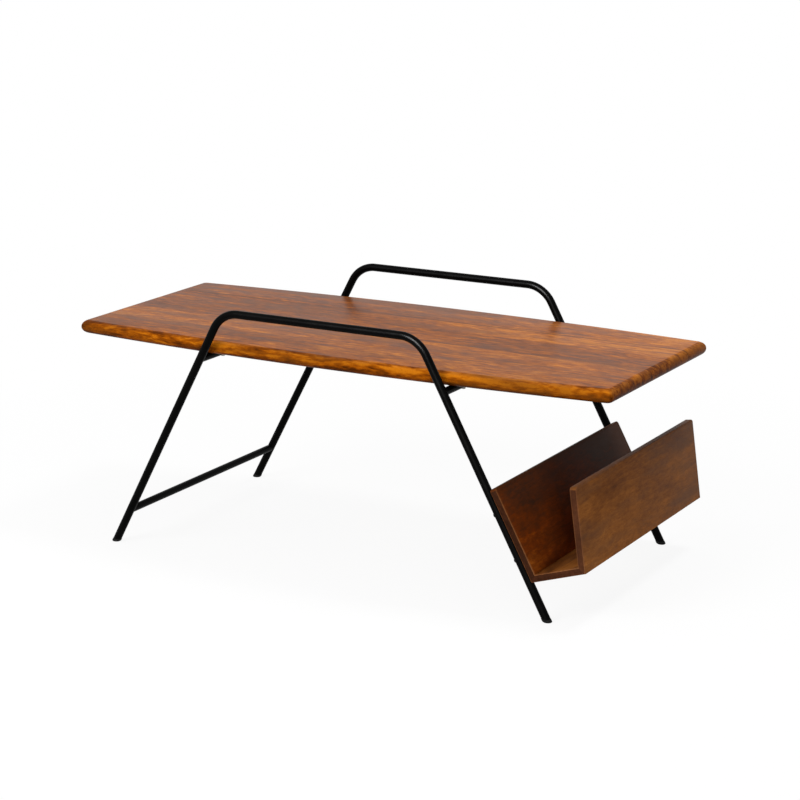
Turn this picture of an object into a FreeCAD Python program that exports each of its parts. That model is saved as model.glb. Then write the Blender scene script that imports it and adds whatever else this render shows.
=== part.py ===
"""Magazine table: a boat-shaped wooden top between two bent-tube side frames, with a trough rack.

X runs along the top, Y across it, Z up. The origin is on the floor under the middle of the table.
The rack hangs on the outer side of the right (+X) legs.
"""
import FreeCAD, Part
import math
import os
import re

import Sketcher

# Driving dimensions, millimetres and degrees
SIZES = {
    "top_length": 1100.0,
    "top_width": 468.0,
    "top_bow": 28.5,
    "top_thickness": 25.0,
    "top_height": 411.0,
    "nosing_depth": 12.0,
    "tube_diameter": 15.0,
    "tube_wall": 1.5,
    "bend_radius": 58.0,
    "leg_clearance": 1.0,
    "rail_rise": 59.0,
    "foot_span": 910.0,
    "rail_span": 404.0,
    "bar_diameter": 14.0,
    "stretcher_height": 68.0,
    "glide_height": 6.0,
    "glide_lip": 0.4,
    "glide_plug_length": 22.0,
    "rack_board_thickness": 13.0,
    "rack_back_length": 173.0,
    "rack_bottom_width": 106.0,
    "rack_front_length": 150.0,
    "rack_start": 73.0,
    "rack_flare_angle": 10.3,
    "rack_corner_radius": 6.0,
    "rack_edge_bevel": 1.5,
    "spline_thickness": 3.0,
    "spline_width": 9.0,
    "spline_stop": 30.0,
    "spline_seat_share": 0.58,
    "screw_diameter": 4.0,
    "screw_head_diameter": 8.0,
    "screw_head_height": 2.6,
    "top_screw_bite": 14.0,
    "rack_screw_bite": 9.0,
    "rack_screw_head_height": 1.2,
    "rack_screw_low": 45.0,
    "rack_screw_high": 130.0,
    "hole_clearance": 0.4,
    "cut_overrun": 5.0,
}

# Board widths as shares of the top's width, from the rear edge to the front one
BOARD_WIDTH_SHARES = (0.245, 0.155, 0.19, 0.19, 0.22)

# Screw places along each crossbar, as shares of the top's width
SCREW_PLACE_SHARES = (-0.36, 0.36)

# How nearly an edge follows an axis to count as straight along it
STRAIGHT_SHARE = 0.99

# Sizes worked out from the driving dimensions
RAIL_HEIGHT = "(top_height + rail_rise)"
FRAME_SPACING = "(top_width + tube_diameter + 2 * leg_clearance)"
LEG_SLOPE = "((foot_span - rail_span) / (2 * %s))" % RAIL_HEIGHT
LEAN = "atan(%s)" % LEG_SLOPE
TUBE_RADIUS = "(tube_diameter / 2)"
TUBE_MARGIN = "(2 * tube_diameter)"
BORE_RADIUS = "(tube_diameter / 2 - tube_wall)"
LEG_LENGTH = "(%s / cos(%s))" % (RAIL_HEIGHT, LEAN)
BEND_RUN = "(bend_radius * tan((90 deg - %s) / 2))" % LEAN
RAIL_END = "(rail_span / 2 - %s)" % BEND_RUN
TOP_UNDERSIDE = "(top_height - top_thickness)"
CROSSBAR_HEIGHT = "(%s - bar_diameter / 2)" % TOP_UNDERSIDE
BOW_RADIUS = "((top_length ^ 2 / 4 + top_bow ^ 2) / (2 * top_bow))"
BOW_INNER = "(%s - top_width - cut_overrun)" % BOW_RADIUS
NOSING_RADIUS = "((top_thickness ^ 2 / 4 + nosing_depth ^ 2) / (2 * nosing_depth))"
FLARE = "(rack_flare_angle * 1 deg)"
RACK_LENGTH = "(%s + tube_diameter)" % FRAME_SPACING
MITRE_RUN = "(rack_board_thickness / tan((90 deg + %s) / 2))" % FLARE
MITRE_WIDTH = "(rack_board_thickness / sin((90 deg + %s) / 2))" % FLARE

# The rack's lower corner on the legs, and its outer lower corner
RACK_CORNER_X = "(foot_span / 2 - rack_start * sin({0}) + {1} * cos({0}))".format(LEAN, TUBE_RADIUS)
RACK_CORNER_Z = "(rack_start * cos({0}) + {1} * sin({0}))".format(LEAN, TUBE_RADIUS)
BOTTOM_TILT = "(%s - %s)" % (LEAN, FLARE)
RACK_OUTER_X = "(%s + rack_bottom_width * cos(%s))" % (RACK_CORNER_X, BOTTOM_TILT)
RACK_OUTER_Z = "(%s + rack_bottom_width * sin(%s))" % (RACK_CORNER_Z, BOTTOM_TILT)

# Sketch references: the ends of an edge, and the sketch's own axes
START_INDEX = 1
END_INDEX = 2
H_AXIS_INDEX = -1
V_AXIS_INDEX = -2

THIRD_TURN = 120
HEAD_SIDES = 6
SHANK_SIDES = 6
PLUG_RIBS = 6
AXIS_X = FreeCAD.Vector(1, 0, 0)
AXIS_Y = FreeCAD.Vector(0, 1, 0)
AXIS_Z = FreeCAD.Vector(0, 0, 1)
ORIGIN = FreeCAD.Vector(0, 0, 0)

SIDES = (("left", -1), ("right", 1))
FACES = (("front", -1), ("rear", 1))

doc = FreeCAD.newDocument("MagazineTable")
pieces = []


def make_sheet():
    """Put the driving dimensions into the sheet, one aliased cell each."""
    sheet = doc.addObject("Spreadsheet::Sheet", "Sizes")
    for row, (alias, value) in enumerate(SIZES.items(), start=1):
        sheet.set("A%d" % row, alias)
        sheet.set("B%d" % row, str(value))
        sheet.setAlias("B%d" % row, alias)
    doc.recompute()
    return sheet


def linked(expression):
    """Turn the plain size names of an expression into links to the sheet."""
    def link(match):
        word = match.group()
        return "Sizes." + word if word in SIZES else word
    return re.sub(r"[a-z_]+", link, expression)


def bind(obj, **sizes):
    """Bind properties of an object to expressions of the sizes."""
    for name, expression in sizes.items():
        obj.setExpression(name, linked(expression))
    return obj


def place(obj, x="0", y="0", z="0", axis=AXIS_Y, angle=None):
    """Bind an object's place, and its turn about one axis."""
    if angle is not None:
        obj.Placement = FreeCAD.Placement(ORIGIN, FreeCAD.Rotation(axis, 1))
        obj.setExpression("Placement.Rotation.Angle", linked(angle))
    obj.setExpression("Placement.Base.x", linked(x))
    obj.setExpression("Placement.Base.y", linked(y))
    obj.setExpression("Placement.Base.z", linked(z))
    return obj


def box(name, length, width, height, **where):
    """A box whose sides are bound to the sizes."""
    solid = bind(doc.addObject("Part::Box", name), Length=length, Width=width, Height=height)
    return place(solid, **where)


def cylinder(name, radius, height, **where):
    """A cylinder whose sizes are bound to the sizes."""
    solid = bind(doc.addObject("Part::Cylinder", name), Radius=radius, Height=height)
    return place(solid, **where)


def prism(name, radius, height, sides, **where):
    """A many-sided rod, for small fasteners and the holes that they fill."""
    solid = bind(doc.addObject("Part::Prism", name), Circumradius=radius, Height=height)
    solid.Polygon = sides
    return place(solid, **where)


def joined(name, shapes):
    """One solid, or one set of cutting tools, from several shapes."""
    fuse = doc.addObject("Part::MultiFuse", name)
    fuse.Shapes = shapes
    return fuse


def cut(name, base, tools):
    """The base with every tool taken away."""
    result = doc.addObject("Part::Cut", name)
    result.Base = base
    result.Tool = tools[0] if len(tools) == 1 else joined(name + "_tools", tools)
    return result


def keep(obj, label):
    """List an object as a finished piece under its own name."""
    obj.Label = label
    pieces.append(obj)
    return obj


def plane(body, role):
    """The origin plane of a body with the given role."""
    return next(f for f in body.Origin.OriginFeatures if f.Role == role)


def sketch_on(body, name, role):
    """An empty sketch on one of the body's origin planes."""
    sketch = body.newObject("Sketcher::SketchObject", name)
    sketch.AttachmentSupport = [(plane(body, role), "")]
    sketch.MapMode = "FlatFace"
    return sketch


def close_loop(sketch, count):
    """Join the first edges of a sketch end to start, in a ring."""
    for edge in range(count):
        following = (edge + 1) % count
        sketch.addConstraint(Sketcher.Constraint("Coincident", edge, END_INDEX, following, START_INDEX))


def dimension(sketch, name, expression, *constraint):
    """Add a named dimension to a sketch and bind it to the sizes."""
    value = size(expression)
    start = math.radians(value) if constraint[0] == "Angle" else value
    index = sketch.addConstraint(Sketcher.Constraint(*constraint, start))
    sketch.renameConstraint(index, name)
    sketch.setExpression("Constraints." + name, linked(expression))


def size(expression):
    """The present value of an expression of the sizes."""
    value = sheet.evalExpression(linked(expression))
    return float(getattr(value, "Value", value))


def leg_x(side, height):
    """Where a leg's centre line stands at a height."""
    return "%d * (foot_span / 2 - %s * %s)" % (side, height, LEG_SLOPE)


def leg_place(side, face, start):
    """Where a rod along a leg's centre line begins, from a distance up the leg, and how it leans."""
    return {
        "x": "%d * (foot_span / 2 - %s * sin(%s))" % (side, start, LEAN),
        "y": "%d * %s / 2" % (face, FRAME_SPACING),
        "z": "%s * cos(%s)" % (start, LEAN),
        "angle": "%d * %s" % (-side, LEAN),
    }


def leg_cylinder(name, side, face, radius, length, start="0"):
    """A cylinder along a leg's centre line."""
    return cylinder(name, radius, length, **leg_place(side, face, start))


def nosed_slab(name, length):
    """A slab as long as asked and as thick as the top, its two ends nosed, running across the table."""
    body = doc.addObject("PartDesign::Body", name)
    section = sketch_on(body, name + "_section", "XZ_Plane")
    flat = size(length) / 2 - size("nosing_depth")
    tip = size(length) / 2
    thick = size("top_thickness")
    corners = [
        FreeCAD.Vector(-flat, 0, 0),
        FreeCAD.Vector(flat, 0, 0),
        FreeCAD.Vector(flat, thick, 0),
        FreeCAD.Vector(-flat, thick, 0),
    ]
    section.addGeometry(Part.LineSegment(corners[0], corners[1]))
    section.addGeometry(Part.Arc(corners[1], FreeCAD.Vector(tip, thick / 2, 0), corners[2]))
    section.addGeometry(Part.LineSegment(corners[2], corners[3]))
    section.addGeometry(Part.Arc(corners[3], FreeCAD.Vector(-tip, thick / 2, 0), corners[0]))
    close_loop(section, len(corners))
    section.addConstraint(Sketcher.Constraint("PointOnObject", 0, START_INDEX, H_AXIS_INDEX))
    section.addConstraint(Sketcher.Constraint("Symmetric", 0, START_INDEX, 0, END_INDEX, V_AXIS_INDEX))
    section.addConstraint(Sketcher.Constraint("Symmetric", 2, START_INDEX, 2, END_INDEX, V_AXIS_INDEX))
    section.addConstraint(Sketcher.Constraint("Vertical", 0, END_INDEX, 2, START_INDEX))
    dimension(section, "flat", "%s - 2 * nosing_depth" % length, "DistanceX", 0, START_INDEX, 0, END_INDEX)
    dimension(section, "thickness", "top_thickness", "DistanceY", 0, END_INDEX, 2, START_INDEX)
    dimension(section, "right_nosing", NOSING_RADIUS, "Radius", 1)
    dimension(section, "left_nosing", NOSING_RADIUS, "Radius", 3)
    pad = body.newObject("PartDesign::Pad", name + "_pad")
    pad.Profile = section
    pad.Midplane = True
    bind(pad, Length="top_width + 2 * cut_overrun")
    return place(body, z=TOP_UNDERSIDE)


def bowed_slab(name, way):
    """A slab with one bowed and nosed long edge, turned about the far centre of that bow."""
    body = doc.addObject("PartDesign::Body", name)
    section = sketch_on(body, name + "_section", "XZ_Plane")
    inner = size(BOW_INNER)
    outer = size(BOW_RADIUS)
    flat = outer - size("nosing_depth")
    thick = size("top_thickness")
    corners = [
        FreeCAD.Vector(inner, 0, 0),
        FreeCAD.Vector(flat, 0, 0),
        FreeCAD.Vector(flat, thick, 0),
        FreeCAD.Vector(inner, thick, 0),
    ]
    section.addGeometry(Part.LineSegment(corners[0], corners[1]))
    section.addGeometry(Part.Arc(corners[1], FreeCAD.Vector(outer, thick / 2, 0), corners[2]))
    section.addGeometry(Part.LineSegment(corners[2], corners[3]))
    section.addGeometry(Part.LineSegment(corners[3], corners[0]))
    close_loop(section, len(corners))
    section.addConstraint(Sketcher.Constraint("PointOnObject", 0, START_INDEX, H_AXIS_INDEX))
    section.addConstraint(Sketcher.Constraint("Horizontal", 0))
    section.addConstraint(Sketcher.Constraint("Horizontal", 2))
    section.addConstraint(Sketcher.Constraint("Vertical", 3))
    section.addConstraint(Sketcher.Constraint("Vertical", 0, END_INDEX, 2, START_INDEX))
    dimension(section, "inner", BOW_INNER, "DistanceX", H_AXIS_INDEX, START_INDEX, 0, START_INDEX)
    dimension(section, "flat", "%s - nosing_depth" % BOW_RADIUS,
              "DistanceX", H_AXIS_INDEX, START_INDEX, 0, END_INDEX)
    dimension(section, "thickness", "top_thickness", "DistanceY", 0, END_INDEX, 2, START_INDEX)
    dimension(section, "nosing", NOSING_RADIUS, "Radius", 1)
    sweep = body.newObject("PartDesign::Revolution", name + "_sweep")
    sweep.Profile = section
    sweep.ReferenceAxis = (section, ["V_Axis"])
    sweep.Midplane = True
    bind(sweep, Angle="2 * asin((top_length / 2 + cut_overrun) / %s)" % BOW_INNER)
    return place(body, y="%d * (top_width / 2 - %s)" % (way, BOW_RADIUS), z=TOP_UNDERSIDE,
                 axis=AXIS_Z, angle="%d * 90 deg" % way)


def common(name, base, tool):
    """What two solids share."""
    shared = doc.addObject("Part::Common", name)
    shared.Base = base
    shared.Tool = tool
    return shared


def top_blank():
    """The glued and shaped top: bowed long edges, straight ends, round nosing with mitred corners."""
    bowed = common("bowed_top", bowed_slab("rear_edge", 1), bowed_slab("front_edge", -1))
    return common("top_blank", bowed, nosed_slab("nosed_ends", "top_length"))


def screw_place(side, share):
    """Where one of the top's screws stands."""
    return {"x": leg_x(side, CROSSBAR_HEIGHT), "y": "%r * top_width" % share}


def top_screw_rods(name, radius, bottom, height, sides=SHANK_SIDES):
    """One upright rod at every screw of the top."""
    rods = []
    for label, side in SIDES:
        for number, share in enumerate(SCREW_PLACE_SHARES, start=1):
            own_name = "%s_%s_%d" % (name, label, number)
            rods.append(prism(own_name, radius, height, sides, z=bottom, **screw_place(side, share)))
    return rods


def tabletop_boards():
    """Cut the blank into its boards and drill the screws' pilot holes."""
    blank = top_blank()
    pilots = joined("pilot_drills", top_screw_rods(
        "pilot", "screw_diameter / 2", TOP_UNDERSIDE + " - cut_overrun", "top_screw_bite + cut_overrun"))
    edge_share = 0.5
    for number, width_share in enumerate(BOARD_WIDTH_SHARES, start=1):
        outer_rear = " + cut_overrun" if number == 1 else ""
        outer_front = " + cut_overrun" if number == len(BOARD_WIDTH_SHARES) else ""
        front_share = edge_share - width_share
        stave = box(
            "stave_%d" % number,
            "top_length + 2 * cut_overrun",
            "%r * top_width%s%s" % (width_share, outer_rear, outer_front),
            "top_thickness + 2 * cut_overrun",
            x="-top_length / 2 - cut_overrun",
            y="%r * top_width%s" % (front_share, outer_front.replace("+", "-")),
            z=TOP_UNDERSIDE + " - cut_overrun",
        )
        shaped = common("shaped_board_%d" % number, blank, stave)
        keep(cut("drilled_board_%d" % number, shaped, [pilots]), "tabletop_board_%d" % number)
        edge_share = front_share


def screw_group(label, heads, shanks):
    """Screws of one kind, each a head and a shank, as one group of separate solids."""
    group = doc.addObject("Part::Compound", label + "_group")
    group.Links = [joined("%s_%d" % (label, number), list(parts))
                   for number, parts in enumerate(zip(heads, shanks), start=1)]
    keep(group, label)


def top_screws():
    """Hexagon-head screws, up through the crossbars into the top."""
    bar_bottom = "(%s - bar_diameter)" % TOP_UNDERSIDE
    heads = top_screw_rods("top_screw_head", "screw_head_diameter / 2",
                           bar_bottom + " - screw_head_height", "screw_head_height", HEAD_SIDES)
    shanks = top_screw_rods("top_screw_shank", "screw_diameter / 2", bar_bottom,
                            "bar_diameter + top_screw_bite")
    screw_group("top_screws", heads, shanks)


def bend(name, side, face, radius):
    """A bend between the rail and a leg: a part of a ring, from the rail's end down to the leg."""
    ring = doc.addObject("Part::Torus", name)
    bind(ring, Radius1="bend_radius", Radius2=radius, Angle3="90 deg - %s" % LEAN)
    upright = FreeCAD.Rotation(FreeCAD.Vector(1, side, 1), -side * THIRD_TURN)
    ring.Placement = FreeCAD.Placement(ORIGIN, upright)
    return place(ring, x="%d * %s" % (side, RAIL_END), y="%d * %s / 2" % (face, FRAME_SPACING),
                 z="%s - bend_radius" % RAIL_HEIGHT)


def hoop(name, face, radius):
    """A rod of the given radius along a side frame's centre line: rail, two bends and two legs."""
    rail = cylinder(
        name + "_rail", radius, "2 * " + RAIL_END,
        x="-1 * " + RAIL_END, y="%d * %s / 2" % (face, FRAME_SPACING), z=RAIL_HEIGHT,
        angle="90 deg",
    )
    rods = [rail]
    for label, side in SIDES:
        rods.append(bend("%s_bend_%s" % (name, label), side, face, radius))
        rods.append(leg_cylinder("%s_leg_%s" % (name, label), side, face, radius,
                                 "%s - %s" % (LEG_LENGTH, BEND_RUN)))
    return joined(name, rods)


def rack_screw_rod(name, face, offset, radius, start, length, sides):
    """A rod square to a right leg, at a distance up the rack's back, from a depth."""
    up = "(rack_start + %s)" % offset
    return prism(
        name, radius, length, sides,
        x="foot_span / 2 - {0} * sin({1}) + ({2}) * cos({1})".format(up, LEAN, start),
        y="%d * %s / 2" % (face, FRAME_SPACING),
        z="{0} * cos({1}) + ({2}) * sin({1})".format(up, LEAN, start),
        angle="90 deg - %s" % LEAN,
    )


def rack_screw_rods(name, faces, radius, start, length, sides=SHANK_SIDES):
    """One such rod at every screw of the rack on the given frames."""
    return [
        rack_screw_rod("%s_%s_%s" % (name, label, offset), face, offset, radius, start, length, sides)
        for label, face in faces
        for offset in ("rack_screw_low", "rack_screw_high")
    ]


def side_frames():
    """The two bent tubes, their feet cut level and their right legs drilled for the rack."""
    for label, face in FACES:
        outer = hoop("hoop_" + label, face, TUBE_RADIUS)
        bore = hoop("bore_" + label, face, BORE_RADIUS)
        floor = box(
            "floor_" + label,
            "foot_span + 2 * " + TUBE_MARGIN,
            "2 * " + TUBE_MARGIN,
            "glide_height + " + TUBE_MARGIN,
            x="-foot_span / 2 - " + TUBE_MARGIN,
            y="%d * %s / 2 - %s" % (face, FRAME_SPACING, TUBE_MARGIN),
            z="-1 * " + TUBE_MARGIN,
        )
        drills = rack_screw_rods("leg_drill", ((label, face),), "(screw_diameter + hole_clearance) / 2",
                                 "-1 * " + TUBE_MARGIN, "2 * " + TUBE_MARGIN)
        keep(cut("tube_" + label, outer, [bore, floor] + drills), "side_frame_" + label)


def cross_bar(label, side, height, drills=()):
    """A straight round bar between the two legs of one side, its ends coped to them."""
    bar = cylinder(
        label + "_stock", "bar_diameter / 2", FRAME_SPACING,
        x=leg_x(side, height), y="-%s / 2" % FRAME_SPACING, z=height,
        axis=AXIS_X, angle="-90 deg",
    )
    legs = [leg_cylinder("%s_cope_%s" % (label, name), side, face, TUBE_RADIUS, LEG_LENGTH)
            for name, face in FACES]
    keep(cut(label + "_coped", bar, legs + list(drills)), label)


def cross_bars():
    """The crossbars under the top, drilled for its screws, and the low stretcher."""
    drills = top_screw_rods("bar_drill", "(screw_diameter + hole_clearance) / 2",
                            TOP_UNDERSIDE + " - 2 * bar_diameter", "2 * bar_diameter + cut_overrun")
    per_bar = len(SCREW_PLACE_SHARES)
    cross_bar("top_crossbar_left", -1, CROSSBAR_HEIGHT, drills[:per_bar])
    cross_bar("top_crossbar_right", 1, CROSSBAR_HEIGHT, drills[per_bar:])
    cross_bar("lower_stretcher_left", -1, "stretcher_height")


def foot_glide(name, side, face):
    """A ribbed plug in the end of a leg, with a shoe under the tube that stands level on the floor."""
    slant = leg_cylinder(name + "_slant", side, face, TUBE_RADIUS + " + glide_lip",
                         "glide_height + 2 * " + TUBE_MARGIN, "(-1 * %s)" % TUBE_MARGIN)
    slab = box(
        name + "_slab", "2 * " + TUBE_MARGIN, "2 * " + TUBE_MARGIN, "glide_height",
        x="%d * foot_span / 2 - %s" % (side, TUBE_MARGIN),
        y="%d * %s / 2 - %s" % (face, FRAME_SPACING, TUBE_MARGIN),
    )
    plug = prism(name + "_plug", BORE_RADIUS, "glide_plug_length", PLUG_RIBS,
                 **leg_place(side, face, "(glide_height / 2 / cos(%s))" % LEAN))
    keep(joined(name + "_whole", [common(name + "_shoe", slant, slab), plug]), name)


def foot_glides():
    """One glide in each of the four legs."""
    for side_label, side in SIDES:
        for face_label, face in FACES:
            foot_glide("foot_glide_%s_%s" % (face_label, side_label), side, face)


def rack_board(name, length, thickness_way, both_mitred=False):
    """A rack board lying along its own X: a mitred section, its free corners round and its edges eased."""
    body = doc.addObject("PartDesign::Body", name + "_board")
    section = sketch_on(body, name + "_section", "XZ_Plane")
    long = size(length)
    deep = thickness_way * size("rack_board_thickness")
    run = size(MITRE_RUN)
    inner_end = long - run if both_mitred else long
    corners = [
        FreeCAD.Vector(0, 0, 0),
        FreeCAD.Vector(long, 0, 0),
        FreeCAD.Vector(inner_end, deep, 0),
        FreeCAD.Vector(run, deep, 0),
    ]
    for start, end in zip(corners, corners[1:] + corners[:1]):
        section.addGeometry(Part.LineSegment(start, end))
    close_loop(section, len(corners))
    section.addConstraint(Sketcher.Constraint("Coincident", 0, START_INDEX, H_AXIS_INDEX, START_INDEX))
    section.addConstraint(Sketcher.Constraint("Horizontal", 0))
    section.addConstraint(Sketcher.Constraint("Horizontal", 2))
    dimension(section, "length", length, "DistanceX", 0, START_INDEX, 0, END_INDEX)
    dimension(section, "mitre", MITRE_RUN, "DistanceX", 0, START_INDEX, 2, END_INDEX)
    if both_mitred:
        dimension(section, "far_mitre", MITRE_RUN, "DistanceX", 2, START_INDEX, 0, END_INDEX)
    else:
        section.addConstraint(Sketcher.Constraint("Vertical", 1))
    ends = (0, START_INDEX, 2, END_INDEX) if thickness_way > 0 else (2, END_INDEX, 0, START_INDEX)
    dimension(section, "thickness", "rack_board_thickness", "DistanceY", *ends)
    pad = body.newObject("PartDesign::Pad", name + "_blank")
    pad.Profile = section
    pad.Midplane = True
    bind(pad, Length=RACK_LENGTH)
    doc.recompute()
    outline = pad
    if not both_mitred:
        outline = body.newObject("PartDesign::Fillet", name + "_corners")
        outline.Base = (pad, straight_edges(pad.Shape, AXIS_Z))
        bind(outline, Radius="rack_corner_radius")
        doc.recompute()
    eased = body.newObject("PartDesign::Chamfer", name + "_eased")
    eased.Base = (outline, straight_edges(outline.Shape, AXIS_X))
    bind(eased, Size="rack_edge_bevel")
    return body


def straight_edges(shape, axis):
    """The names of a shape's edges that run along an axis."""
    names = []
    for number, edge in enumerate(shape.Edges, start=1):
        chord = edge.Vertexes[-1].Point - edge.Vertexes[0].Point
        if abs(chord.dot(axis)) > STRAIGHT_SHARE * edge.Length:
            names.append("Edge%d" % number)
    return names


def spline(name, x, z, direction):
    """A loose tongue across a mitre, at its seat along the line of the mitre."""
    seat = "(spline_seat_share * %s - spline_thickness / 2)" % MITRE_WIDTH
    half = "spline_width / 2"
    return box(
        name, "spline_width", "%s - 2 * spline_stop" % RACK_LENGTH, "spline_thickness",
        x="{0} + {1} * cos({3}) - {2} * sin({3})".format(x, seat, half, direction),
        y="spline_stop - %s / 2" % RACK_LENGTH,
        z="{0} + {1} * sin({3}) + {2} * cos({3})".format(z, seat, half, direction),
        angle="90 deg - (%s)" % direction,
    )


def rack():
    """The trough: back, bottom and front boards, mitred and splined, the back screwed to the legs."""
    back_mitre = "%s + 45 deg - %s / 2" % (LEAN, FLARE)
    front_mitre = "%s + 135 deg - 3 * %s / 2" % (LEAN, FLARE)
    back_spline = spline("back_spline", RACK_CORNER_X, RACK_CORNER_Z, back_mitre)
    front_spline = spline("front_spline", RACK_OUTER_X, RACK_OUTER_Z, front_mitre)
    pilots = rack_screw_rods("rack_pilot", FACES, "screw_diameter / 2", TUBE_RADIUS + " - cut_overrun",
                             "rack_screw_bite + cut_overrun")

    back = rack_board("rack_back", "rack_back_length", -1)
    place(back, x=RACK_CORNER_X, z=RACK_CORNER_Z, angle="-90 deg - %s" % LEAN)
    keep(cut("rack_back_cut", back, [back_spline] + pilots), "rack_back_panel")

    bottom = rack_board("rack_bottom", "rack_bottom_width", 1, both_mitred=True)
    place(bottom, x=RACK_CORNER_X, z=RACK_CORNER_Z, angle="-1 * %s" % BOTTOM_TILT)
    keep(cut("rack_bottom_cut", bottom, [back_spline, front_spline]), "rack_bottom_panel")

    front = rack_board("rack_front", "rack_front_length", 1)
    place(front, x=RACK_OUTER_X, z=RACK_OUTER_Z, angle="-90 deg - %s + 2 * %s" % (LEAN, FLARE))
    keep(cut("rack_front_cut", front, [front_spline]), "rack_front_panel")

    keep(back_spline, "rack_back_spline")
    keep(front_spline, "rack_front_spline")


def rack_screws():
    """Screws with low heads, through the right legs into the rack's back."""
    heads = rack_screw_rods("rack_screw_head", FACES, "screw_head_diameter / 2",
                            "-%s - rack_screw_head_height" % TUBE_RADIUS, "rack_screw_head_height",
                            HEAD_SIDES)
    shanks = rack_screw_rods("rack_screw_shank", FACES, "screw_diameter / 2", "-" + TUBE_RADIUS,
                             "tube_diameter + rack_screw_bite")
    screw_group("rack_screws", heads, shanks)


def write_pieces():
    """Check every object and every piece, then write one file per piece."""
    doc.recompute()
    failed = [obj.Name for obj in doc.Objects if {"Invalid", "Error"} & set(obj.State)]
    if failed:
        raise RuntimeError("failed objects: " + ", ".join(failed))
    for piece in pieces:
        if piece.Shape.isNull() or not piece.Shape.isValid() or not piece.Shape.Solids:
            raise RuntimeError("bad shape: " + piece.Label)
    os.makedirs("parts", exist_ok=True)
    for piece in pieces:
        piece.Shape.exportStep("parts/%s.step" % piece.Label)
        print(piece.Label, len(piece.Shape.Solids), round(piece.Shape.Volume / 1000, 2), "cm3")


sheet = make_sheet()
tabletop_boards()
top_screws()
side_frames()
cross_bars()
foot_glides()
rack()
rack_screws()
write_pieces()
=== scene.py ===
"""Magazine table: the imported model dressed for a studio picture, in metres and in that model's frame.

X runs along the top towards the rack, Y across it towards the rear, Z up from the floor.
"""
import math

import bmesh
import bpy
from mathutils import Matrix, Vector


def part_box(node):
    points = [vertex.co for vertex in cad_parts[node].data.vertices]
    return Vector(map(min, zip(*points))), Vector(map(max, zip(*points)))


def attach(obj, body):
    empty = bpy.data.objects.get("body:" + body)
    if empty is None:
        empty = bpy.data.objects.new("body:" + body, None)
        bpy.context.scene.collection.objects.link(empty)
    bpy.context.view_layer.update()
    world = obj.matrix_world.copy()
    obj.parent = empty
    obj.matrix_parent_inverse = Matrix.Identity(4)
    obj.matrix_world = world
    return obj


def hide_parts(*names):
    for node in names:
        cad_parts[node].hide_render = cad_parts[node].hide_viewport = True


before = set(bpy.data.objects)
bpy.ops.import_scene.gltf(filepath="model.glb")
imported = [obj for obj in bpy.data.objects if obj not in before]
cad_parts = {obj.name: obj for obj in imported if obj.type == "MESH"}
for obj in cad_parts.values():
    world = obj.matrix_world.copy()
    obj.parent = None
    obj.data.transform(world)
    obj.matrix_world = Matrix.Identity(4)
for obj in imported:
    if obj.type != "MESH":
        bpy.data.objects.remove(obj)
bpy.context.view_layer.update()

BODY = "root"

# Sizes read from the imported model
REAR_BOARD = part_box("tabletop_board_1")
FRONT_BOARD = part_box("tabletop_board_5")
FRONT_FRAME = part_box("side_frame_front")
RACK_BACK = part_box("rack_back_panel")
TOP_LENGTH = REAR_BOARD[1].x - REAR_BOARD[0].x
TOP_WIDTH = REAR_BOARD[1].y - FRONT_BOARD[0].y
TOP_UNDERSIDE = REAR_BOARD[0].z
TOP_THICKNESS = REAR_BOARD[1].z - REAR_BOARD[0].z
TUBE_RADIUS = (FRONT_FRAME[1].y - FRONT_FRAME[0].y) / 2
FRAME_Y = -FRONT_FRAME[0].y - TUBE_RADIUS
RAIL_HEIGHT = FRONT_FRAME[1].z - TUBE_RADIUS
GLIDE_HEIGHT = FRONT_FRAME[0].z
RACK_HALF_LENGTH = RACK_BACK[1].y

# Sizes repeated from the CAD source
TOP_BOW = 0.0285
NOSING_DEPTH = 0.012
BEND_RADIUS = 0.058
FOOT_SPAN = 0.910
RAIL_SPAN = 0.404
GLIDE_LIP = 0.0004
RACK_THICKNESS = 0.013
RACK_BACK_LENGTH = 0.173
RACK_BOTTOM_WIDTH = 0.106
RACK_FRONT_LENGTH = 0.150
RACK_START = 0.073
RACK_FLARE_ANGLE = math.radians(10.3)
RACK_CORNER_RADIUS = 0.006
SCREW_RADIUS = 0.002
SCREW_HEAD_RADIUS = 0.004
TOP_SCREW_HEAD_HEIGHT = 0.0026
TOP_SCREW_BITE = 0.014
TOP_SCREW_SHARE = 0.36
RACK_SCREW_HEAD_HEIGHT = 0.0012
RACK_SCREW_BITE = 0.009
RACK_SCREW_PLACES = (0.045, 0.130)

# Small roundings of the visible pieces
TOP_CORNER_RADIUS = 0.007
RACK_EDGE_RADIUS = 0.0016
GLIDE_EDGE_RADIUS = 0.0024
SCREW_EDGE_RADIUS = 0.0004

# How finely curves are divided
NOSING_STEPS = 20
BOW_STEPS = 64
TUBE_SIDES = 48
BEND_STEPS = 28
CORNER_STEPS = 6
EDGE_SEGMENTS = 3

# When an edge counts as sharp, and two directions as one
SHARP_ANGLE = math.radians(35)
PARALLEL_COSINE = 0.99

# Sizes worked out from those
LEAN = math.atan((FOOT_SPAN - RAIL_SPAN) / (2 * RAIL_HEIGHT))
NOSING_RADIUS = ((TOP_THICKNESS / 2) ** 2 + NOSING_DEPTH ** 2) / (2 * NOSING_DEPTH)
BOW_RADIUS = ((TOP_LENGTH / 2) ** 2 + TOP_BOW ** 2) / (2 * TOP_BOW)
MITRE_RUN = RACK_THICKNESS / math.tan((math.pi / 2 + RACK_FLARE_ANGLE) / 2)
SCREW_TIP_RADIUS = SCREW_RADIUS / 3
SOCKET_RADIUS = SCREW_RADIUS / 2
SOCKET_DEPTH = RACK_SCREW_HEAD_HEIGHT / 2
SIDES = {"left": -1, "right": 1}
FACES = {"front": -1, "rear": 1}

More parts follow.
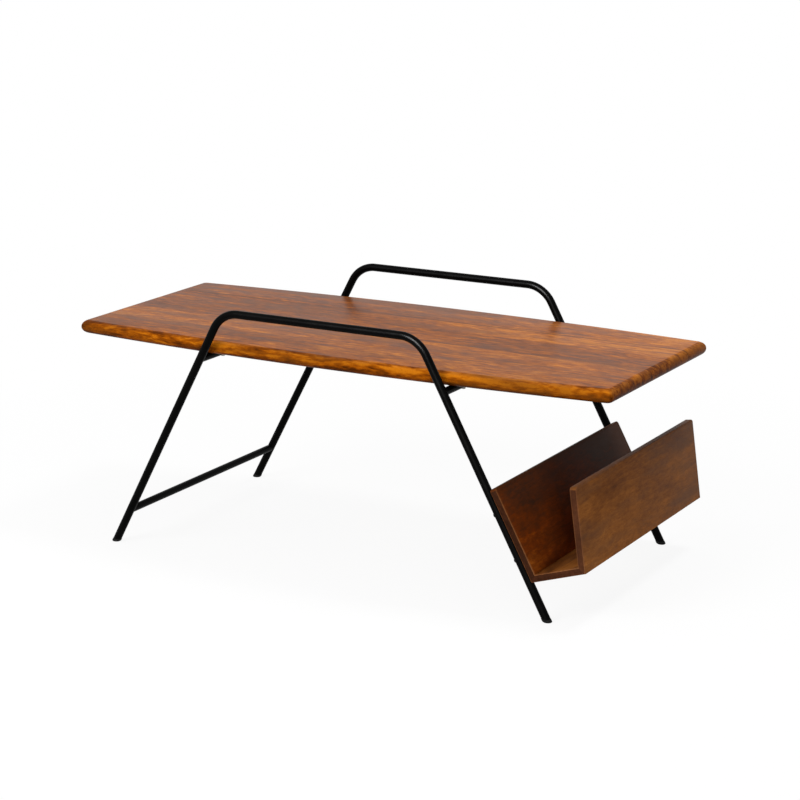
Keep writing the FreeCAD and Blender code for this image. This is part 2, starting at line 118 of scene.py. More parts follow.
# The photograph's camera
CAMERA_PLACE = Vector((2.0614, -3.5507, 1.3592))
CAMERA_YAW = -0.5202
CAMERA_PITCH = 0.2575
CAMERA_ROLL = 0.0036
CAMERA_LENS_MM = 102.7


# Node helpers

ZERO = (0.0, 0.0, 0.0)


def feed(tree, socket, value):
    """Set an input, or link it if the value is another node's output."""
    if isinstance(value, bpy.types.NodeSocket):
        tree.links.new(value, socket)
    else:
        socket.default_value = value


def node(tree, kind, inputs=None, **settings):
    """A new node with its settings and its inputs."""
    made = tree.nodes.new(kind)
    for name, value in settings.items():
        setattr(made, name, value)
    for name, value in (inputs or {}).items():
        feed(tree, made.inputs[name], value)
    return made


def calc(tree, operation, first, second=0.0):
    """The result of a sum on two numbers."""
    made = node(tree, "ShaderNodeMath", operation=operation)
    feed(tree, made.inputs[0], first)
    feed(tree, made.inputs[1], second)
    return made.outputs[0]


def vector_calc(tree, operation, first, second=ZERO):
    """The node of a sum on two vectors."""
    made = node(tree, "ShaderNodeVectorMath", operation=operation)
    feed(tree, made.inputs[0], first)
    feed(tree, made.inputs[1], second)
    return made


def mapped(tree, value, start, end, low=0.0, high=1.0):
    """A number moved from one range to another, and kept inside it."""
    return node(tree, "ShaderNodeMapRange", {
        "Value": value, "From Min": start, "From Max": end, "To Min": low, "To Max": high,
    }).outputs["Result"]


def noise(tree, place, per_metre, detail=3.0, roughness=0.5):
    """Noise with its own number of waves per metre along each axis."""
    spread = vector_calc(tree, "MULTIPLY", place, per_metre).outputs[0]
    return node(tree, "ShaderNodeTexNoise",
                {"Vector": spread, "Scale": 1.0, "Detail": detail, "Roughness": roughness})


def centred(tree, value, share):
    """A number from 0 to 1, moved to lie around zero and scaled."""
    return calc(tree, "MULTIPLY", calc(tree, "SUBTRACT", value, 0.5), share)


def total(tree, values):
    """The sum of several numbers."""
    result = values[0]
    for value in values[1:]:
        result = calc(tree, "ADD", result, value)
    return result


def ramp(tree, value, stops):
    """A colour ramp through the given places and colours."""
    made = node(tree, "ShaderNodeValToRGB", {"Fac": value})
    elements = made.color_ramp.elements
    while len(elements) < len(stops):
        elements.new(1.0)
    for element, (position, colour) in zip(elements, stops):
        element.position = position
        element.color = (*colour, 1.0)
    return made.outputs["Color"]


def mixed(tree, share, first, second, mode="MIX"):
    """Two colours mixed by a share."""
    made = node(tree, "ShaderNodeMix", data_type="RGBA", blend_type=mode)
    ends = {socket.identifier: socket for socket in made.inputs}
    feed(tree, ends["Factor_Float"], share)
    feed(tree, ends["A_Color"], first)
    feed(tree, ends["B_Color"], second)
    return next(socket for socket in made.outputs if socket.identifier == "Result_Color")


def bump(tree, shader, height, strength, distance):
    """Give a shader a fine relief."""
    relief = node(tree, "ShaderNodeBump", {"Strength": strength, "Distance": distance, "Height": height})
    feed(tree, shader.inputs["Normal"], relief.outputs["Normal"])


def material(name):
    """A new material with its node tree and its shader."""
    made = bpy.data.materials.new(name)
    made.use_nodes = True
    return made, made.node_tree, made.node_tree.nodes["Principled BSDF"]


# Colours of the wood, from dark to light
TOP_TONES = (
    (0.0, (0.080, 0.020, 0.004)),
    (0.3, (0.165, 0.041, 0.004)),
    (0.55, (0.270, 0.069, 0.004)),
    (0.8, (0.390, 0.110, 0.007)),
    (1.0, (0.530, 0.175, 0.018)),
)
FRONT_TONES = (
    (0.0, (0.074, 0.023, 0.005)),
    (0.3, (0.134, 0.043, 0.009)),
    (0.55, (0.197, 0.067, 0.014)),
    (0.8, (0.265, 0.094, 0.020)),
    (1.0, (0.350, 0.135, 0.032)),
)
TROUGH_TONES = (
    (0.0, (0.052, 0.019, 0.009)),
    (0.3, (0.104, 0.025, 0.006)),
    (0.55, (0.175, 0.034, 0.004)),
    (0.8, (0.300, 0.070, 0.006)),
    (1.0, (0.520, 0.150, 0.018)),
)
END_TONES = (
    (0.0, (0.026, 0.009, 0.004)),
    (0.5, (0.068, 0.023, 0.010)),
    (1.0, (0.125, 0.045, 0.020)),
)
EDGE_TONES = (
    (0.0, (0.095, 0.032, 0.010)),
    (0.5, (0.180, 0.066, 0.022)),
    (1.0, (0.280, 0.115, 0.042)),
)

# Colours of dull patches, those that darken or tint the wood, and a rounding's painted shade
TOP_DULL_COLOUR = (0.145, 0.052, 0.020, 1.0)
FRONT_DULL_COLOUR = (0.090, 0.042, 0.022, 1.0)
TROUGH_DULL_COLOUR = (0.062, 0.018, 0.005, 1.0)
END_DULL_COLOUR = (0.045, 0.018, 0.009, 1.0)
PORE_COLOUR = (0.35, 0.30, 0.28, 1.0)
SEAM_COLOUR = (0.20, 0.17, 0.17, 1.0)
TOP_END_COLOUR = (0.47, 0.42, 0.43, 1.0)
GATHERED_COLOUR = (0.34, 0.26, 0.22, 1.0)
SIDE_COLOUR = (0.90, 0.81, 0.24, 1.0)
# Painted shade on the lower side of a rounding
PAINTED_SHADE_COLOUR = (0.36, 0.28, 0.24, 1.0)
WHITE = (1.0, 1.0, 1.0, 1.0)

# Layers of figure: waves per metre along the grain and across it, and their share of the tone
TOP_FIGURE = (
    (2.0, 14.0, 1.1),
    (9.0, 42.0, 0.8),
    (22.0, 95.0, 1.3),
    (48.0, 190.0, 1.1),
    (20.0, 400.0, 0.5),
    (80.0, 1500.0, 0.5),
)
NOSING_FIGURE = (
    (2.0, 14.0, 1.2),
    (9.0, 42.0, 1.3),
    (22.0, 95.0, 1.9),
    (48.0, 190.0, 1.6),
    (20.0, 400.0, 0.5),
    (80.0, 1500.0, 0.5),
)
RACK_FIGURE = (
    (4.0, 9.0, 1.1),
    (13.0, 30.0, 0.6),
    (60.0, 150.0, 0.6),
    (30.0, 320.0, 0.4),
    (90.0, 1500.0, 0.4),
)

# Each board of the top: its place in its log, the shift of its tone, and the tone's drift to the right
BOARD_LOOKS = (
    ((0.31, -0.02, 0.07 - TOP_UNDERSIDE), 0.0, 0.8),
    ((2.17, -0.05, 0.10 - TOP_UNDERSIDE), 0.02, 0.65),
    ((4.43, 0.03, 0.06 - TOP_UNDERSIDE), -0.02, 0.1),
    ((6.71, 0.11, 0.09 - TOP_UNDERSIDE), 0.18, -0.25),
    ((8.05, 0.15, 0.08 - TOP_UNDERSIDE), 0.10, 0.15),
)

# Each rack board: tones, dull colour, place in its log, shift and drift of its tone, shift at its ends
RACK_LOOKS = {
    # The back's drift darkens it upwards and to the rear: painted shade inside the trough, lighter at
    # its near lower end
    "back": (TROUGH_TONES, TROUGH_DULL_COLOUR, (11.3, 0.07, 0.21), 0.33, (0.0, -1.0, -3.4), -0.2),
    "bottom": (FRONT_TONES, FRONT_DULL_COLOUR, (13.9, -0.05, 0.17), 0.36, (0.0, 1.2, 0.0), 0.0),
    "front": (FRONT_TONES, FRONT_DULL_COLOUR, (16.4, 0.12, 0.26), 0.22, (0.0, -0.1, -1.0), 0.2),
}
RACK_PARTS = ("face", "arris", "end")
RACK_GRAIN_TURN = (0.0, 0.0, -math.pi / 2)
TONGUE_START = (18.2, 0.0, 0.1)
TONGUE_TONE_SHIFT = 0.1

# How the grain runs, in waves per metre along it and across it, and how it shows
WANDER_WAVES = (5.0, 9.0, 9.0)
WANDER_REACH = (0.0, 0.035, 0.035)
WANDER_MIDDLE = (0.5, 0.5, 0.5)
ACROSS_GRAIN = (0.0, 1.0, 1.0)
RINGS_PER_METRE = 95.0
RING_SHARE = 0.1
MIDDLE_TONE = 0.5
DRIFT_START = (-0.2, -1.0, -1.0)
DULL_WAVES = (3.5, 24.0, 24.0)
DULL_RANGE = (0.45, 0.70)
DULL_MOST = 0.75
PORE_WAVES = (130.0, 2600.0, 2600.0)
PORE_RANGE = (0.62, 0.74)
PORE_MOST = 0.8
PORE_RELIEF = -0.6
GRAIN_RELIEF = 0.4
RELIEF_STRENGTH = 0.12
RELIEF_DEPTH = 0.0002

# Glue lines between the top's boards, from the rear
SEAM_DEPTHS = (1.0, 0.5, 0.6, 0.4)
SEAM_HALF_WIDTH = 0.0045
SEAM_RANGE = (0.35, 0.65)
SEAM_LEAST_SHARE = 0.3

# How far a surface turns to an end or a side to take its tint, the painted light on a rounding as it
# faces up, and its change of tone along
END_RANGE = (0.2, 0.85)
SIDE_RANGE = (0.3, 0.8)
# Painted light: how much a rounding's tone rises as it faces up
NOSING_PAINTED_LIGHT = 0.4
NOSING_DRIFT = 0.3

# Finish that gathers along a rounding's upper edge, and painted shade along its lower one, by how far
# the surface faces up
GATHERED_RISE = (0.70, 0.84)
GATHERED_FALL = (0.985, 0.998)
GATHERED_WAVES = (35.0, 120.0, 120.0)
GATHERED_UNEVENNESS = 0.5
GATHERED_MOST = 0.6
BREAK_WAVES = (7.0, 30.0, 30.0)
BREAK_RANGE = (0.45, 0.62)
# Painted shade: how far a rounding faces up where it starts to darken, on its sides and on its ends, and
# where it is darkest
PAINTED_SHADE_START = -0.35
PAINTED_SHADE_END_START = 0.45
PAINTED_SHADE_FULL = -0.95

# Shine of the materials
TOP_ROUGHNESS = 0.36
TOP_GLOSS = 0.05
NOSING_GLOSS = 0.015
RACK_ROUGHNESS = 0.45
RACK_GLOSS = 0.02
SHINE_SHARES = (0.15, 0.12)
COAT_GLOSS = 0.022
GLIDE_GLOSS = 0.06
BLACK_STEEL_GLOSS = 0.045

# Colours and surface of the frame, the glides and the screws
COAT_TONES = ((0.3, (0.0008, 0.0008, 0.0008)), (0.7, (0.0018, 0.0017, 0.0016)))
COAT_WAVES = (30.0, 30.0, 30.0)
COAT_PEEL_WAVES = (900.0, 900.0, 900.0)
GLIDE_TONES = ((0.35, (0.006, 0.006, 0.006)), (0.75, (0.020, 0.020, 0.020)))
GLIDE_WAVES = (160.0, 160.0, 500.0)
GLIDE_SPECKLE_WAVES = (1800.0, 1800.0, 1800.0)
ZINC_TONES = ((0.3, (0.22, 0.22, 0.21)), (0.7, (0.36, 0.36, 0.35)))
BLACK_STEEL_TONES = ((0.3, (0.0015, 0.0015, 0.0015)), (0.7, (0.0045, 0.0045, 0.0045)))
STEEL_WAVES = (700.0, 700.0, 700.0)
FINE_DEPTH = 0.0001


# Materials

def wood(name, tones, dull_colour, figure, start, tone_shift=0.0, drift=ZERO, turn=ZERO, seams=(),
         end_colour=TOP_END_COLOUR, side_tint=1.0, roughness=TOP_ROUGHNESS, gloss=TOP_GLOSS):
    """Lacquered solid wood, cut from a log whose length is the turned X axis.

    The drift is how much the tone changes per metre along each axis, to the right of the left third.
    """
    made, tree, shader = material(name)
    space = node(tree, "ShaderNodeTexCoord").outputs
    log = grain_place(tree, space, start, turn)
    own = node(tree, "ShaderNodeSeparateXYZ", {"Vector": space["Object"]}).outputs
    facing = node(tree, "ShaderNodeMapping", {"Vector": space["Normal"], "Rotation": turn}).outputs[0]
    ways = node(tree, "ShaderNodeSeparateXYZ", {"Vector": facing}).outputs
    end_share = mapped(tree, calc(tree, "ABSOLUTE", ways["X"]), *END_RANGE)
    side_share = mapped(tree, calc(tree, "ABSOLUTE", ways["Y"]), *SIDE_RANGE, high=side_tint)

    layers = [noise(tree, log, (along, across, across), roughness=0.55).outputs["Fac"]
              for along, across, share in figure]
    grain = [centred(tree, layer, share) for layer, (along, across, share) in zip(layers, figure)]
    nosing_share = calc(tree, "MULTIPLY", calc(tree, "MAXIMUM", end_share, side_share), side_tint)
    # Painted light: a rounding's tone rises as it faces up, and drifts along the top
    slope = calc(tree, "MULTIPLY", nosing_share, nosing_painted_light_and_drift(tree, ways["Z"], own["X"]))
    steady = vector_calc(tree, "MAXIMUM", space["Object"], DRIFT_START).outputs[0]
    drifted = vector_calc(tree, "DOT_PRODUCT", steady, drift).outputs["Value"]
    rings = centred(tree, growth_rings(tree, log), RING_SHARE)
    tone = total(tree, grain + [slope, drifted, rings, MIDDLE_TONE + tone_shift])
    colour = ramp(tree, tone, tones)

    dullness = noise(tree, log, DULL_WAVES, detail=4.0, roughness=0.6).outputs["Fac"]
    colour = mixed(tree, mapped(tree, dullness, *DULL_RANGE, high=DULL_MOST), colour, dull_colour)
    pores = noise(tree, log, PORE_WAVES, detail=1.0).outputs["Fac"]
    pore_share = mapped(tree, pores, *PORE_RANGE, high=PORE_MOST)
    colour = mixed(tree, pore_share, colour, PORE_COLOUR, "MULTIPLY")
    colour = seam_lines(tree, own["Y"], seams, layers[0], colour)
    colour = gathered_finish_and_painted_shade(tree, space, log, end_share, colour)
    colour = mixed(tree, end_share, colour, end_colour, "MULTIPLY")
    colour = mixed(tree, side_share, colour, SIDE_COLOUR, "MULTIPLY")
    feed(tree, shader.inputs["Base Color"], colour)

    shine = [centred(tree, layer, share) for layer, share in zip(layers[1:], SHINE_SHARES)]
    feed(tree, shader.inputs["Roughness"], total(tree, shine + [roughness]))
    shader.inputs["Specular IOR Level"].default_value = gloss
    relief = calc(tree, "ADD", calc(tree, "MULTIPLY", pore_share, PORE_RELIEF),
                  calc(tree, "MULTIPLY", layers[-1], GRAIN_RELIEF))
    bump(tree, shader, relief, RELIEF_STRENGTH, RELIEF_DEPTH)
    return made


def grain_place(tree, space, start, turn):
    """Places in the log that a board is cut from, along its grain, which wanders a little."""
    place = node(tree, "ShaderNodeMapping",
                 {"Vector": space["Object"], "Location": start, "Rotation": turn}).outputs[0]
    bend = noise(tree, place, WANDER_WAVES).outputs["Color"]
    bend = vector_calc(tree, "SUBTRACT", bend, WANDER_MIDDLE).outputs[0]
    wander = vector_calc(tree, "MULTIPLY", bend, WANDER_REACH).outputs[0]
    return vector_calc(tree, "ADD", place, wander).outputs[0]


def nosing_painted_light_and_drift(tree, upward, along):
    """Painted light on a rounding, its tone lighter where it faces up, and its change of tone towards
    the right.
    """
    return calc(tree, "ADD", calc(tree, "MULTIPLY", upward, NOSING_PAINTED_LIGHT),
                calc(tree, "MULTIPLY", along, NOSING_DRIFT))


def growth_rings(tree, log):
    """How far through its growth ring each place lies, from 0 to 1."""
    section = vector_calc(tree, "MULTIPLY", log, ACROSS_GRAIN).outputs[0]
    radius = vector_calc(tree, "LENGTH", section).outputs["Value"]
    return calc(tree, "FRACT", calc(tree, "MULTIPLY", radius, RINGS_PER_METRE))


def seam_lines(tree, across, seams, unevenness, colour):
    """Dark glue lines at places across the top, deeper in some stretches than in others."""
    for seam, most in seams:
        distance = calc(tree, "ABSOLUTE", calc(tree, "SUBTRACT", across, seam))
        near = mapped(tree, distance, 0.0, SEAM_HALF_WIDTH, 1.0, 0.0)
        depth = mapped(tree, unevenness, *SEAM_RANGE, SEAM_LEAST_SHARE * most, most)
        colour = mixed(tree, calc(tree, "MULTIPLY", near, depth), colour, SEAM_COLOUR, "MULTIPLY")
    return colour


def gathered_finish_and_painted_shade(tree, space, log, end_share, colour):
    """Finish gathered in a broken line along a rounding's upper edge, and painted shade all along its
    lower one.
    """
    upward = node(tree, "ShaderNodeSeparateXYZ", {"Vector": space["Normal"]}).outputs["Z"]
    ragged = noise(tree, log, GATHERED_WAVES, detail=4.0, roughness=0.65).outputs["Fac"]
    height = calc(tree, "ADD", upward, centred(tree, ragged, GATHERED_UNEVENNESS))
    rise = mapped(tree, height, *GATHERED_RISE)
    fall = mapped(tree, upward, *GATHERED_FALL, 1.0, 0.0)
    breaks = noise(tree, log, BREAK_WAVES, detail=2.0).outputs["Fac"]
    strength = mapped(tree, breaks, *BREAK_RANGE, high=GATHERED_MOST)
    share = calc(tree, "MULTIPLY", calc(tree, "MULTIPLY", rise, fall), strength)
    colour = mixed(tree, share, colour, GATHERED_COLOUR, "MULTIPLY")
    # Painted shade: a rounding darkens towards its underside, starting higher up on the ends
    painted_shade_start = mapped(tree, end_share, 0.0, 1.0, PAINTED_SHADE_START, PAINTED_SHADE_END_START)
    painted_shade_share = mapped(tree, upward, painted_shade_start, PAINTED_SHADE_FULL)
    return mixed(tree, painted_shade_share, colour, PAINTED_SHADE_COLOUR, "MULTIPLY")


def rack_wood(part, label, tones, dull_colour, start, tone_shift, drift=ZERO):
    """Matt lacquered wood for one part of a rack board, its grain along the trough."""
    return wood("rack_%s_%s" % (part, label), tones, dull_colour, RACK_FIGURE, start, tone_shift, drift,
                RACK_GRAIN_TURN, end_colour=WHITE, side_tint=0.0,
                roughness=RACK_ROUGHNESS, gloss=RACK_GLOSS)


def mottled(name, tones, waves, roughness, unevenness, constants):
    """A material whose colour and roughness vary in soft patches, with constants on other inputs."""
    made, tree, shader = material(name)
    place = node(tree, "ShaderNodeTexCoord").outputs["Object"]
    patches = noise(tree, place, waves).outputs["Fac"]
    feed(tree, shader.inputs["Base Color"], ramp(tree, patches, tones))
    shine = calc(tree, "ADD", centred(tree, patches, unevenness), roughness)
    feed(tree, shader.inputs["Roughness"], shine)
    for socket, value in constants.items():
        shader.inputs[socket].default_value = value
    return made


def roughen(made, waves, strength):
    """Give a mottled material a fine relief."""
    tree = made.node_tree
    place = node(tree, "ShaderNodeTexCoord").outputs["Object"]
    height = noise(tree, place, waves, detail=2.0).outputs["Fac"]
    bump(tree, tree.nodes["Principled BSDF"], height, strength, FINE_DEPTH)


def powder_coat():
    """Satin black powder coat, faintly uneven."""
    made = mottled("black_powder_coat", COAT_TONES, COAT_WAVES, roughness=0.30, unevenness=0.1,
                   constants={"Specular IOR Level": COAT_GLOSS})
    roughen(made, COAT_PEEL_WAVES, strength=0.03)
    return made


def glide_plastic():
    """Matt black moulded plastic."""
    made = mottled("glide_plastic", GLIDE_TONES, GLIDE_WAVES, roughness=0.6, unevenness=0.2,
                   constants={"Specular IOR Level": GLIDE_GLOSS})
    roughen(made, GLIDE_SPECKLE_WAVES, strength=0.2)
    return made


def zinc_steel():
    """Zinc-plated steel, slightly blotched."""
    return mottled("zinc_steel", ZINC_TONES, STEEL_WAVES, roughness=0.38, unevenness=0.25,
                   constants={"Metallic": 1.0})


def black_steel():
    """Blackened steel, slightly blotched."""
    return mottled("black_steel", BLACK_STEEL_TONES, STEEL_WAVES, roughness=0.4, unevenness=0.2,
                   constants={"Specular IOR Level": BLACK_STEEL_GLOSS})


# Mesh helpers

def full_turn():
    """Angles that divide a full turn evenly."""
    return [math.tau * step / TUBE_SIDES for step in range(TUBE_SIDES)]


def quarter_turn():
    """Angles that divide a quarter turn evenly, with both its ends."""
    return [math.pi / 2 * step / CORNER_STEPS for step in range(CORNER_STEPS + 1)]


def loft(rings):
    """Points and faces of a closed skin through rings of equally many points, its ends capped."""
    count = len(rings[0])
    points = [point for ring in rings for point in ring]
    sides = []
    for row in range(len(rings) - 1):
        low = row * count
        high = low + count
        for step in range(count):
            following = (step + 1) % count
            sides.append((low + step, low + following, high + following, high + step))
    last = (len(rings) - 1) * count
    caps = [tuple(range(count)), tuple(range(last, last + count))]
    return points, sides, caps


def piece(name, cad_node, rings, materials):
    """A lofted piece for a CAD node: smooth sides in its last material, flat caps in its first."""
    points, sides, caps = loft(rings)
    mesh = bpy.data.meshes.new(name)
    mesh.from_pydata(points, [], sides + caps)
    for face in mesh.polygons:
        on_side = face.index < len(sides)
        face.use_smooth = on_side
        face.material_index = len(materials) - 1 if on_side else 0
    return dress(name, mesh, cad_node, materials)


def dress(name, mesh, cad_node, materials):
    """Turn a mesh's faces outwards, give it its materials, and put it in the CAD node's place."""
    work = bmesh.new()
    work.from_mesh(mesh)
    bmesh.ops.recalc_face_normals(work, faces=work.faces)
    work.to_mesh(mesh)
    work.free()
    mesh.set_sharp_from_angle(angle=SHARP_ANGLE)
    for made in materials:
        mesh.materials.append(made)
    obj = bpy.data.objects.new(name, mesh)
    bpy.context.scene.collection.objects.link(obj)
    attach(obj, BODY)
    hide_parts(cad_node)
    return obj


def repaint(cad_node, made):
    """Give a CAD node that stays in view a new material."""
    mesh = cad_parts[cad_node].data
    mesh.materials.clear()
    mesh.materials.append(made)


# The top

def bowed_y(x, inset, way):
    """Where a bowed long edge runs, at a place along the top and an inset from the widest outline."""
    middle = TOP_WIDTH / 2 - BOW_RADIUS
    return way * (middle + math.sqrt((BOW_RADIUS - inset) ** 2 - x ** 2))


def rounded_corner(corner, first_way, second_way, radius):
    """Points round an outline's corner, from the edge that leaves it the first way to the other edge."""
    inside = first_way.angle(second_way)
    centre = corner + (first_way + second_way).normalized() * radius / math.sin(inside / 2)
    start = corner + first_way * radius / math.tan(inside / 2) - centre
    sweep = math.copysign(math.pi - inside, second_way.cross(first_way))
    angles = [sweep * step / CORNER_STEPS for step in range(CORNER_STEPS + 1)]
    return [centre + Matrix.Rotation(angle, 2) @ start for angle in angles]


def bowed_edge(inset, way):
    """The bowed long edge at one side, from the left corner to the right one, its corners rounded."""
    half = TOP_LENGTH / 2 - inset
    slope = math.asin(half / (BOW_RADIUS - inset))
    inward = Vector((0, -way))
    right_corner = Vector((half, bowed_y(half, inset, way)))
    along = Vector((-math.cos(slope), way * math.sin(slope)))
    right = rounded_corner(right_corner, along, inward, TOP_CORNER_RADIUS)
    left = [Vector((-point.x, point.y)) for point in reversed(right)]
    reach = right[0].x
    xs = [reach * (2 * step / BOW_STEPS - 1) for step in range(1, BOW_STEPS)]
    return left + [Vector((x, bowed_y(x, inset, way))) for x in xs] + right


def joint_edge(inset, y):
    """A straight glued edge, from left to right."""
    half = TOP_LENGTH / 2 - inset
    return [Vector((half * (2 * step / BOW_STEPS - 1), y)) for step in range(BOW_STEPS + 1)]


def board_outline(front, rear, inset):
    """A board's outline at one height: along its front edge, then back along its rear one."""
    ahead = bowed_edge(inset, -1) if front is None else joint_edge(inset, front)
    behind = bowed_edge(inset, 1) if rear is None else joint_edge(inset, rear)
    return ahead + behind[::-1]


def top_board(number, start, tone_shift, drift):
    """One board of the top, with round nosing on its ends and on any edge that is the top's own."""
    cad_node = "tabletop_board_%d" % number
    low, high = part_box(cad_node)
    front = None if number == len(BOARD_LOOKS) else low.y
    rear = None if number == 1 else high.y
    reach = math.asin(TOP_THICKNESS / 2 / NOSING_RADIUS)
    rings = []
    for step in range(NOSING_STEPS + 1):
        angle = reach * (2 * step / NOSING_STEPS - 1)
        height = TOP_UNDERSIDE + TOP_THICKNESS / 2 + NOSING_RADIUS * math.sin(angle)
        inset = NOSING_RADIUS * (1 - math.cos(angle))
        rings.append([(x, y, height) for x, y in board_outline(front, rear, inset)])
    joints = ((front, number - 1), (rear, number - 2))
    seams = [(joint, SEAM_DEPTHS[place]) for joint, place in joints if joint is not None]
    parts = (("face", TOP_FIGURE, TOP_GLOSS), ("nosing", NOSING_FIGURE, NOSING_GLOSS))
    made = [
        wood("top_%s_%d" % (part, number), TOP_TONES, TOP_DULL_COLOUR, figure, start, tone_shift,
             (drift, 0.0, 0.0), seams=seams, gloss=gloss)
        for part, figure, gloss in parts
    ]
    piece("board_%d" % number, cad_node, rings, made)


def top():
    """The five glued boards, from the rear, each from a log of its own."""
    for number, (start, tone_shift, drift) in enumerate(BOARD_LOOKS, start=1):
        top_board(number, start, tone_shift, drift)


# The frame

def mirrored(vector):
    """The vector on the other side of the table's middle."""
    return Vector((-vector.x, vector.y, vector.z))


def level(point, direction, height):
    """The point moved along a direction until it is at the height."""
    return point + direction * ((height - point.z) / direction.z)


def leg_direction(side):
    """The way up a leg."""
    return Vector((-side * math.sin(LEAN), 0, math.cos(LEAN)))


def leg_outward(side):
    """The way out from a leg, square to it, past the table's end."""
    return Vector((side * math.cos(LEAN), 0, math.sin(LEAN)))


def frame_path():
    """A side frame's centre line and outward side, from the left foot over the rail to the right."""
    run = BEND_RADIUS * math.tan((math.pi / 2 - LEAN) / 2)
    rail_end = RAIL_SPAN / 2 - run
    right = []
    for step in range(BEND_STEPS + 1):
        angle = (math.pi / 2 - LEAN) * step / BEND_STEPS
        outward = Vector((math.sin(angle), 0, math.cos(angle)))
        centre = Vector((rail_end, 0, RAIL_HEIGHT - BEND_RADIUS))
        right.append((centre + BEND_RADIUS * outward, outward))
    right.append((Vector((FOOT_SPAN / 2, 0, 0)), right[-1][1]))
    left = [(mirrored(point), mirrored(outward)) for point, outward in reversed(right)]
    return left + right


def side_frame(label, face, made):
    """One bent tube, its ends cut level at the glides."""
    path = frame_path()
    rings = []
    for number, (point, outward) in enumerate(path):
        ring = []
        for angle in full_turn():
            offset = TUBE_RADIUS * (math.cos(angle) * outward + math.sin(angle) * Vector((0, 1, 0)))
            corner = point + offset + Vector((0, face * FRAME_Y, 0))
            if number == 0:
                corner = level(corner, leg_direction(SIDES["left"]), GLIDE_HEIGHT)
            if number == len(path) - 1:
                corner = level(corner, leg_direction(SIDES["right"]), GLIDE_HEIGHT)
            ring.append(corner)
        rings.append(ring)
    return piece("frame_" + label, "side_frame_" + label, rings, [made])


def cross_bar(cad_node, side, made):
    """A round bar between two legs, its ends coped to them."""
    low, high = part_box(cad_node)
    radius = (high.x - low.x) / 2
    middle = (low + high) / 2
    outward = leg_outward(side)
    rings = []
    for way in FACES.values():
        ring = []
        for angle in full_turn():
            offset = radius * Vector((math.cos(angle), 0, math.sin(angle)))
            reach = FRAME_Y - math.sqrt(TUBE_RADIUS ** 2 - offset.dot(outward) ** 2)
            ring.append(Vector((middle.x, way * reach, middle.z)) + offset)
        rings.append(ring)
    piece(cad_node.replace("top_", ""), cad_node, rings, [made])


def glide(label, side, face, made):
    """A glide's shoe, its edges eased, under the level end of a leg."""
    radius = TUBE_RADIUS + GLIDE_LIP
    levels = [(GLIDE_EDGE_RADIUS * (1 - math.cos(angle)), GLIDE_EDGE_RADIUS * (1 - math.sin(angle)))
              for angle in quarter_turn()]
    levels += [(GLIDE_HEIGHT - GLIDE_LIP, 0.0), (GLIDE_HEIGHT, GLIDE_LIP)]
    foot = Vector((side * FOOT_SPAN / 2, face * FRAME_Y, 0))
    rings = []
    for height, inset in levels:
        centre = level(foot, leg_direction(side), height)
        rings.append([
            centre + (radius - inset) * Vector((math.cos(angle) / math.cos(LEAN), math.sin(angle), 0))
            for angle in full_turn()
        ])
    piece("glide_" + label, "foot_glide_" + label, rings, [made])


def frames():
    """Side frames, crossbars, stretcher and glides; returns the side frames."""
    black = powder_coat()
    plastic = glide_plastic()
    tubes = [side_frame(label, face, black) for label, face in FACES.items()]
    cross_bar("top_crossbar_left", SIDES["left"], black)
    cross_bar("top_crossbar_right", SIDES["right"], black)
    cross_bar("lower_stretcher_left", SIDES["left"], black)
    for side_label, side in SIDES.items():
        for face_label, face in FACES.items():
            glide("%s_%s" % (face_label, side_label), side, face, plastic)
    return tubes


# The rack

def rack_outline(start, end, round_end):
    """A board's outline on one of its faces, as places along it and across it."""
    half = RACK_HALF_LENGTH
    if not round_end:
        return [(start, -half), (end, -half), (end, half), (start, half)]
    radius = RACK_CORNER_RADIUS
    near = [(end - radius + radius * math.sin(angle), -half + radius - radius * math.cos(angle))
            for angle in quarter_turn()]
    far = [(x, -y) for x, y in reversed(near)]
    return [(start, -half)] + near + far + [(start, half)]


def ease_edges(mesh, along, corner, both_mitred):
    """Round a board's edges, except at its mitres, and mark the rounding and the board's ends."""
    work = bmesh.new()
    work.from_mesh(mesh)
    bmesh.ops.recalc_face_normals(work, faces=work.faces)
    caps = sorted(work.faces, key=lambda face: face.calc_area())[-2:]
    across = Vector((0, 1, 0))
    open_edges = []
    for edge in {edge for face in caps for edge in face.edges}:
        places = [(vertex.co - corner).dot(along) for vertex in edge.verts]
        at_mitre = both_mitred or max(places) < 2 * MITRE_RUN
        way = (edge.verts[1].co - edge.verts[0].co).normalized()
        runs_across = abs(way.dot(across)) > PARALLEL_COSINE
        if not (at_mitre and runs_across):
            open_edges.append(edge)
    result = bmesh.ops.bevel(work, geom=open_edges, offset=RACK_EDGE_RADIUS, segments=EDGE_SEGMENTS,
                             profile=0.5, affect="EDGES")
    for face in result["faces"]:
        face.material_index = RACK_PARTS.index("arris")
        face.smooth = True
    for face in work.faces:
        if abs(face.normal.y) > PARALLEL_COSINE:
            face.material_index = RACK_PARTS.index("end")
    work.to_mesh(mesh)
    work.free()


def rack_board(label, corner, angle, length, inside, both_mitred):
    """A mitred rack board from its outer corner, at an angle above level, thick towards the inside."""
    along = Vector((math.cos(angle), 0, math.sin(angle)))
    inward = Vector((-math.sin(angle), 0, math.cos(angle))) * inside
    far_run = MITRE_RUN if both_mitred else 0.0
    rings = []
    for depth, start, end in ((0.0, 0.0, length), (RACK_THICKNESS, MITRE_RUN, length - far_run)):
        rings.append([
            corner + along * x + inward * depth + Vector((0, y, 0))
            for x, y in rack_outline(start, end, not both_mitred)
        ])
    points, sides, caps = loft(rings)
    mesh = bpy.data.meshes.new("rack_" + label)
    mesh.from_pydata(points, [], sides + caps)
    ease_edges(mesh, along, corner, both_mitred)
    dress("rack_" + label, mesh, "rack_%s_panel" % label, rack_materials(label))


